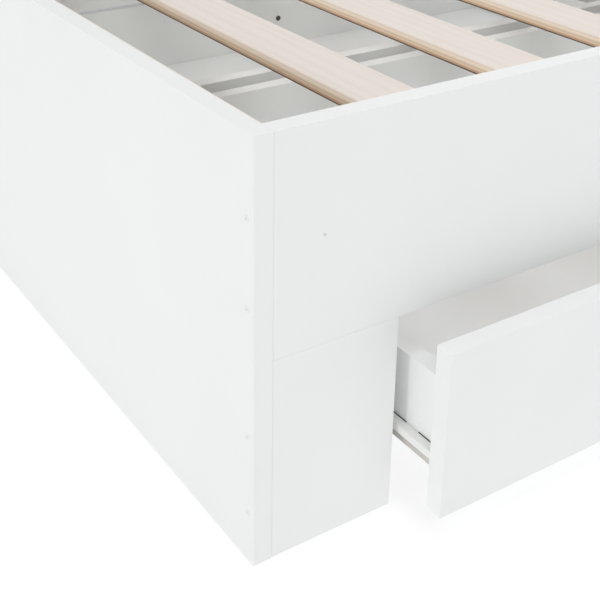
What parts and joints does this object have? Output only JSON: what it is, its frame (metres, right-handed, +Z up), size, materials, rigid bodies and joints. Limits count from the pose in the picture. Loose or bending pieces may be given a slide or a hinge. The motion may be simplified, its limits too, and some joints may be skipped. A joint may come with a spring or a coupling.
{
  "type": "bed frame with drawers",
  "caption": "Low single bed frame in white-faced board with curved-edge plywood slats across it and flush storage drawers on roller runners along both long sides.",
  "frame": {"origin": "On the floor under the middle of the bed, which is the middle of the underside of the middle partition.", "axes": "+X along the bed, +Y across it to the back long side, +Z up. The front long side is -Y."},
  "size_m": [1.93, 0.8817, 0.324],
  "materials": {
    "white_board": "white melamine-faced board, satin",
    "drawer_board": "white melamine-faced board, satin",
    "plywood": "pale sanded plywood with eased edges",
    "pine": "planed softwood, unfinished",
    "runner_steel": "folded steel, pale grey powder coat",
    "zinc": "satin zinc plate",
    "white_plastic": "moulded white plastic",
    "dark_steel": "steel with a dark oxide finish"
  },
  "bodies": {
    "carcass": {"end_panel_left": "white_board", "end_panel_right": "white_board", "side_rail_front": "white_board", "side_rail_back": "white_board", "corner_post_front_left": "white_board", "corner_post_front_right": "white_board", "corner_post_back_left": "white_board", "corner_post_back_right": "white_board", "partition_left": "white_board", "partition_middle": "white_board", "partition_right": "white_board", "centre_board_front": "white_board", "centre_board_back": "white_board", "slat_ledge_front": "pine", "slat_ledge_back": "pine", "slat_01": "plywood", "slat_02": "plywood", "slat_03": "plywood", "slat_04": "plywood", "slat_05": "plywood", "slat_06": "plywood", "slat_07": "plywood", "slat_08": "plywood", "slat_09": "plywood", "slat_10": "plywood", "slat_11": "plywood", "slat_12": "plywood", "slat_13": "plywood", "slat_14": "plywood"},
    "drawer_a": {"drawer_a_face": "white_board", "drawer_a_side_left": "drawer_board", "drawer_a_side_right": "drawer_board", "drawer_a_back": "drawer_board", "drawer_a_bottom": "drawer_board", "drawer_a_runner_left": "runner_steel", "drawer_a_runner_right": "runner_steel"},
    "drawer_b": {"drawer_b_face": "white_board", "drawer_b_side_left": "drawer_board", "drawer_b_side_right": "drawer_board", "drawer_b_back": "drawer_board", "drawer_b_bottom": "drawer_board", "drawer_b_runner_left": "runner_steel", "drawer_b_runner_right": "runner_steel"},
    "drawer_c": {"drawer_c_face": "white_board", "drawer_c_side_left": "drawer_board", "drawer_c_side_right": "drawer_board", "drawer_c_back": "drawer_board", "drawer_c_bottom": "drawer_board", "drawer_c_runner_left": "runner_steel", "drawer_c_runner_right": "runner_steel"},
    "drawer_d": {"drawer_d_face": "white_board", "drawer_d_side_left": "drawer_board", "drawer_d_side_right": "drawer_board", "drawer_d_back": "drawer_board", "drawer_d_bottom": "drawer_board", "drawer_d_runner_left": "runner_steel", "drawer_d_runner_right": "runner_steel"}
  },
  "joints": [
    {"name": "drawer_a_slide", "type": "slide", "parent": "carcass", "child": "drawer_a", "axis": [0, -1, 0], "range_m": [-0.0517, 0.2083]},
    {"name": "drawer_b_slide", "type": "slide", "parent": "carcass", "child": "drawer_b", "axis": [0, -1, 0], "range_m": [0, 0.26]},
    {"name": "drawer_c_slide", "type": "slide", "parent": "carcass", "child": "drawer_c", "axis": [0, 1, 0], "range_m": [0, 0.26]},
    {"name": "drawer_d_slide", "type": "slide", "parent": "carcass", "child": "drawer_d", "axis": [0, 1, 0], "range_m": [0, 0.26]}
  ]
}
